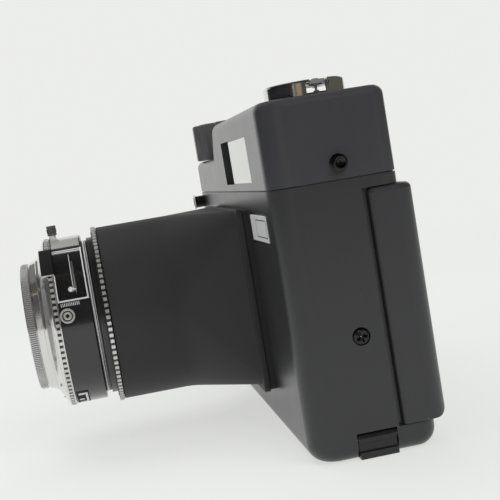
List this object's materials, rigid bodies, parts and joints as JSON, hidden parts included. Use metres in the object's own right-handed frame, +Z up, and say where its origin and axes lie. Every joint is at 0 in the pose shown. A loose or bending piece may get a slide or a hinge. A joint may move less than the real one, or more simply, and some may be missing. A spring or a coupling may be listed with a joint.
{
  "type": "panoramic film camera",
  "caption": "Wide-format roll film camera with a leaf shutter lens on a flared tube, an optical finder, a wind knob, a folding rewind crank and a hinged back door.",
  "frame": {"origin": "mouth of the tripod socket in the middle of the base", "axes": "+X along the width towards the crank, -Y the way the lens points, +Z up"},
  "size_m": [0.204, 0.125, 0.1163],
  "materials": {
    "case_black": "matte",
    "cover_black": "matte",
    "chassis_black": "matte",
    "knob_black": "satin",
    "shutter_black": "gloss",
    "satin_silver": "satin",
    "bright_chrome": "polished",
    "steel": "satin",
    "blade_steel": "satin",
    "brass": "satin",
    "moulding_black": "matte",
    "foam": "matte",
    "glass": "polished",
    "coated_glass": "polished"
  },
  "bodies": {
    "body": {"main_case": "case_black", "top_cover": "cover_black", "film_gate": "chassis_black", "hinge_leaf": "steel", "hinge_pin": "steel", "release_pin": "steel", "tripod_bush": "steel", "nameplate": "satin_silver", "strap_studs": "steel", "side_screws": "steel", "button_bracket": "steel", "button_spring": "steel", "spool_pivots": "steel", "finder_tunnel": "moulding_black", "finder_window": "glass", "finder_objective": "glass", "finder_eyepiece": "glass", "eyepiece_frame": "moulding_black", "lens_tube": "case_black", "flange_screws": "steel"},
    "door": {"back_door": "case_black", "door_seal": "foam", "pressure_springs": "steel"},
    "film_plate": {"pressure_plate": "steel"},
    "release_flap": {"door_release": "knob_black"},
    "winder": {"wind_knob": "knob_black", "wind_knob_cap": "knob_black", "wind_shaft": "steel"},
    "take_up": {"take_up_spool": "moulding_black"},
    "crank": {"crank_knob": "bright_chrome", "crank_shaft": "steel"},
    "crank_lever": {"crank_arm": "steel"},
    "crank_tip": {"crank_grip": "bright_chrome"},
    "roller_supply": {"guide_roller_supply": "steel"},
    "roller_take_up": {"guide_roller_take_up": "steel"},
    "button": {"wind_button": "knob_black"},
    "focus": {"focus_ring": "bright_chrome"},
    "shutter": {"focus_barrel": "satin_silver", "shutter_case": "shutter_black", "shutter_rear_rim": "satin_silver", "retaining_ring": "brass", "scale_window": "glass", "scale_frame": "bright_chrome", "cable_socket": "bright_chrome", "sync_socket": "bright_chrome", "diaphragm_blades": "blade_steel", "front_plate": "shutter_black", "front_cell": "knob_black", "front_glass": "coated_glass", "rear_cell": "knob_black", "rear_glass": "coated_glass"},
    "speeds": {"speed_ring": "satin_silver"},
    "aperture": {"aperture_lever": "blade_steel"},
    "cocking": {"cocking_lever": "blade_steel"},
    "release": {"release_lever": "blade_steel"},
    "blade_1": {"shutter_blade_1": "blade_steel"},
    "blade_2": {"shutter_blade_2": "blade_steel"},
    "blade_3": {"shutter_blade_3": "blade_steel"},
    "blade_4": {"shutter_blade_4": "blade_steel"},
    "blade_5": {"shutter_blade_5": "blade_steel"}
  },
  "joints": [
    {"name": "door_swing", "type": "hinge", "parent": "body", "child": "door", "pos_m": [-0.1006, 0.00825, 0.04465], "axis": [0, 0, 1], "range_deg": [0, 105]},
    {"name": "plate_press", "type": "slide", "parent": "door", "child": "film_plate", "axis": [0, 1, 0], "range_m": [0, 0.0012], "stiffness_N_per_m": 400, "springref_m": -0.002, "deforming": ["pressure_springs"]},
    {"name": "release_flip", "type": "hinge", "parent": "body", "child": "release_flap", "pos_m": [0.0969, 0.00125, 0.0064], "axis": [0, -1, 0], "range_deg": [0, 35], "stiffness_Nm_per_rad": 0.01, "springref_deg": -11.46},
    {"name": "wind_turn", "type": "hinge", "parent": "body", "child": "winder", "pos_m": [-0.07625, 0.0005, 0.1], "axis": [0, 0, 1], "continuous": true},
    {"name": "spool_turn", "type": "hinge", "parent": "body", "child": "take_up", "pos_m": [-0.07625, 0.0005, 0.047], "axis": [0, 0, 1], "continuous": true},
    {"name": "crank_turn", "type": "hinge", "parent": "body", "child": "crank", "pos_m": [0.07625, 0.0005, 0.111], "axis": [0, 0, 1], "continuous": true},
    {"name": "crank_fold", "type": "hinge", "parent": "crank", "child": "crank_lever", "pos_m": [0.06825, 0.0029, 0.11515], "axis": [0, -1, 0], "range_deg": [0, 180]},
    {"name": "crank_grip_turn", "type": "hinge", "parent": "crank_lever", "child": "crank_tip", "pos_m": [0.08285, 0.0029, 0.114], "axis": [0, 0, 1], "continuous": true},
    {"name": "roller_supply_turn", "type": "hinge", "parent": "body", "child": "roller_supply", "pos_m": [0.0645, 0.0122, 0.047], "axis": [0, 0, 1], "continuous": true},
    {"name": "roller_take_up_turn", "type": "hinge", "parent": "body", "child": "roller_take_up", "pos_m": [-0.0645, 0.0122, 0.047], "axis": [0, 0, 1], "continuous": true},
    {"name": "button_press", "type": "slide", "parent": "body", "child": "button", "axis": [0, 1, 0], "range_m": [0, 0.0015], "stiffness_N_per_m": 300, "springref_m": -0.002, "deforming": ["button_spring"]},
    {"name": "focus_turn", "type": "hinge", "parent": "body", "child": "focus", "pos_m": [0, -0.07915, 0.047], "axis": [0, -1, 0], "range_deg": [0, 180]},
    {"name": "focus_slide", "type": "slide", "parent": "body", "child": "shutter", "axis": [0, -1, 0], "range_m": [0, 0.0055]},
    {"name": "speed_turn", "type": "hinge", "parent": "shutter", "child": "speeds", "pos_m": [0, -0.07915, 0.047], "axis": [0, -1, 0], "range_deg": [-70, 70]},
    {"name": "aperture_turn", "type": "hinge", "parent": "shutter", "child": "aperture", "pos_m": [0, -0.07915, 0.047], "axis": [0, -1, 0], "range_deg": [0, 28]},
    {"name": "cock_turn", "type": "hinge", "parent": "shutter", "child": "cocking", "pos_m": [0, -0.07915, 0.047], "axis": [0, -1, 0], "range_deg": [0, 35]},
    {"name": "release_turn", "type": "hinge", "parent": "shutter", "child": "release", "pos_m": [0, -0.07915, 0.047], "axis": [0, -1, 0], "range_deg": [0, 12], "stiffness_Nm_per_rad": 0.005, "springref_deg": -8.59},
    {"name": "blade_1_turn", "type": "hinge", "parent": "shutter", "child": "blade_1", "pos_m": [0.024, -0.08515, 0.047], "axis": [0, -1, 0], "range_deg": [0, 28.1]},
    {"name": "blade_2_turn", "type": "hinge", "parent": "shutter", "child": "blade_2", "pos_m": [0.00742, -0.08515, 0.06983], "axis": [0, -1, 0], "range_deg": [0, 28.1]},
    {"name": "blade_3_turn", "type": "hinge", "parent": "shutter", "child": "blade_3", "pos_m": [-0.01942, -0.08515, 0.06111], "axis": [0, -1, 0], "range_deg": [0, 28.1]},
    {"name": "blade_4_turn", "type": "hinge", "parent": "shutter", "child": "blade_4", "pos_m": [-0.01942, -0.08515, 0.03289], "axis": [0, -1, 0], "range_deg": [0, 28.1]},
    {"name": "blade_5_turn", "type": "hinge", "parent": "shutter", "child": "blade_5", "pos_m": [0.00742, -0.08515, 0.02417], "axis": [0, -1, 0], "range_deg": [0, 28.1]}
  ],
  "couplings": [
    {"joint": "spool_turn", "follows": "wind_turn", "ratio": 1},
    {"joint": "focus_turn", "follows": "focus_slide", "rad_per_m": 571.15},
    {"joint": "blade_1_turn", "follows": "release_turn", "ratio": 2.3333},
    {"joint": "blade_2_turn", "follows": "release_turn", "ratio": 2.3333},
    {"joint": "blade_3_turn", "follows": "release_turn", "ratio": 2.3333},
    {"joint": "blade_4_turn", "follows": "release_turn", "ratio": 2.3333},
    {"joint": "blade_5_turn", "follows": "release_turn", "ratio": 2.3333}
  ]
}
